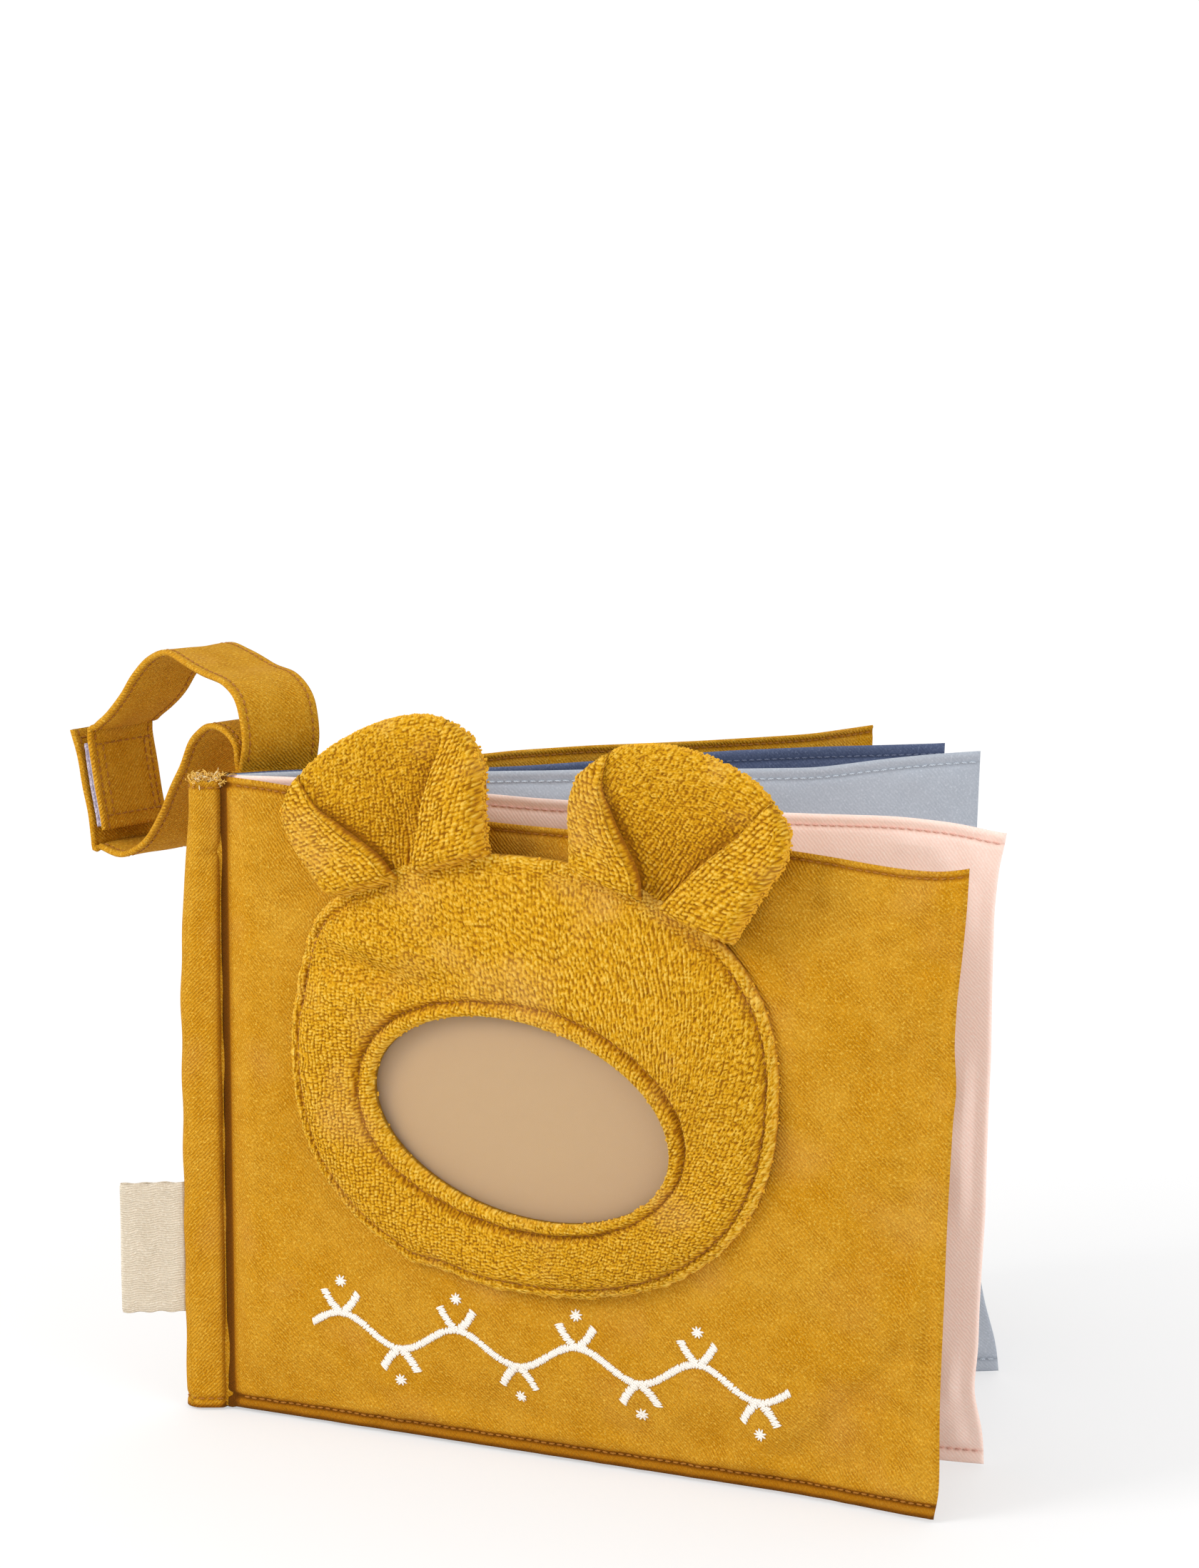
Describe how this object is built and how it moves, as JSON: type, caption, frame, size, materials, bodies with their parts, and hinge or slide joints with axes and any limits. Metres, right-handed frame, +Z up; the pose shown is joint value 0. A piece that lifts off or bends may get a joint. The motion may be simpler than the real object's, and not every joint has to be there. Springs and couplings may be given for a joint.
{
  "type": "fabric photo album",
  "caption": "Padded cloth photo album standing open like a fan, with a stitched spine, a bear's head pocket with a window on the front cover and a strap loop behind.",
  "frame": {"origin": "middle of the spine's foot, in the plane that the album stands on", "axes": "+Z up along the spine, +X from the spine to the fore-edges along the middle of the fan, -Y on the front cover's side"},
  "size_m": [0.2429, 0.1965, 0.1903],
  "materials": {
    "ochre_cotton": "matte cotton twill",
    "ochre_terry": "matte looped terry",
    "pink_cotton": "matte plain cotton",
    "pale_blue_cotton": "matte plain cotton",
    "navy_cotton": "matte plain cotton",
    "wadding": "matte polyester wadding",
    "lining_cotton": "matte plain cotton",
    "clear_film": "soft clear plastic film",
    "card": "matte photo card",
    "cream_tape": "matte woven cotton tape",
    "hook_tape": "matte hook-and-loop tape"
  },
  "bodies": {
    "spine": {"spine_binding": "ochre_cotton", "bound_margins": "lining_cotton"},
    "label": {"label_tab": "cream_tape"},
    "front_cover": {"front_cover_outer_cloth": "ochre_cotton", "front_cover_wadding": "wadding", "front_cover_lining": "ochre_cotton", "front_cover_inner_window": "clear_film", "bear_head_lining": "lining_cotton", "bear_head_window": "clear_film", "bear_head": "ochre_terry"},
    "photo_card": {"photo_card": "card"},
    "left_ear": {"left_ear": "ochre_terry"},
    "right_ear": {"right_ear": "ochre_terry"},
    "pink_leaf": {"pink_leaf_front_cloth": "pink_cotton", "pink_leaf_back_cloth": "pink_cotton", "pink_leaf_wadding": "wadding", "pink_leaf_front_window": "clear_film", "pink_leaf_back_window": "clear_film"},
    "pale_blue_leaf": {"pale_blue_leaf_front_cloth": "pale_blue_cotton", "pale_blue_leaf_back_cloth": "pale_blue_cotton", "pale_blue_leaf_wadding": "wadding", "pale_blue_leaf_front_window": "clear_film", "pale_blue_leaf_back_window": "clear_film"},
    "navy_leaf": {"navy_leaf_front_cloth": "navy_cotton", "navy_leaf_back_cloth": "navy_cotton", "navy_leaf_wadding": "wadding", "navy_leaf_front_window": "clear_film", "navy_leaf_back_window": "clear_film"},
    "back_cover": {"back_cover_outer_cloth": "ochre_cotton", "back_cover_wadding": "wadding", "back_cover_lining": "ochre_cotton", "back_cover_inner_window": "clear_film"},
    "strap": {"strap_upper_arm": "ochre_cotton", "strap_lower_arm": "ochre_cotton", "strap_hook_patch": "hook_tape"},
    "strap_flap": {"strap_loop_patch": "hook_tape", "strap_end_flap": "ochre_cotton"}
  },
  "joints": [
    {"name": "front_cover_turn", "type": "hinge", "parent": "spine", "child": "front_cover", "pos_m": [0.0074, -0.0034, 0], "axis": [0, 0, -1], "range_deg": [-18.5, 74.5]},
    {"name": "pink_leaf_turn", "type": "hinge", "parent": "spine", "child": "pink_leaf", "pos_m": [0.009, -0.0015, 0], "axis": [0, 0, -1], "range_deg": [-9.8, 39.2]},
    {"name": "back_cover_turn", "type": "hinge", "parent": "spine", "child": "back_cover", "pos_m": [0.0074, 0.0034, 0], "axis": [0, 0, 1], "range_deg": [-24.4, 68.6]},
    {"name": "navy_leaf_turn", "type": "hinge", "parent": "spine", "child": "navy_leaf", "pos_m": [0.009, 0.0015, 0], "axis": [0, 0, 1], "range_deg": [-16.3, 45.7]},
    {"name": "pale_blue_leaf_turn", "type": "hinge", "parent": "spine", "child": "pale_blue_leaf", "pos_m": [0.009, 0, 0], "axis": [0, 0, 1], "range_deg": [-9.2, 25.7]},
    {"name": "left_ear_fold", "type": "hinge", "parent": "front_cover", "child": "left_ear", "pos_m": [0.05409, -0.03675, 0.14675], "axis": [0.8551, -0.4079, 0.3201], "range_deg": [0, 60], "stiffness_Nm_per_rad": 0.002},
    {"name": "right_ear_fold", "type": "hinge", "parent": "front_cover", "child": "right_ear", "pos_m": [0.11249, -0.0646, 0.145], "axis": [0.8516, -0.4062, -0.3314], "range_deg": [0, 60], "stiffness_Nm_per_rad": 0.002},
    {"name": "photo_card_slide", "type": "slide", "parent": "front_cover", "child": "photo_card", "axis": [0, 0, 1], "range_m": [0, 0.08]},
    {"name": "strap_swing", "type": "hinge", "parent": "back_cover", "child": "strap", "pos_m": [0.0074, 0.0034, 0.1653], "axis": [-0.8536, -0.521, 0], "range_deg": [-30, 30]},
    {"name": "strap_flap_peel", "type": "hinge", "parent": "strap", "child": "strap_flap", "pos_m": [-0.03295, 0.05144, 0.13566], "axis": [-0.6975, -0.7166, 0], "range_deg": [0, 100]},
    {"name": "label_bend", "type": "hinge", "parent": "spine", "child": "label", "pos_m": [-0.00705, 0, 0.0415], "axis": [0, 0, 1], "range_deg": [-50, 50], "stiffness_Nm_per_rad": 0.0005}
  ],
  "couplings": [
    {"joint": "pink_leaf_turn", "follows": "front_cover_turn", "ratio": 0.524},
    {"joint": "navy_leaf_turn", "follows": "back_cover_turn", "ratio": 0.664},
    {"joint": "pale_blue_leaf_turn", "follows": "back_cover_turn", "ratio": 0.373}
  ]
}
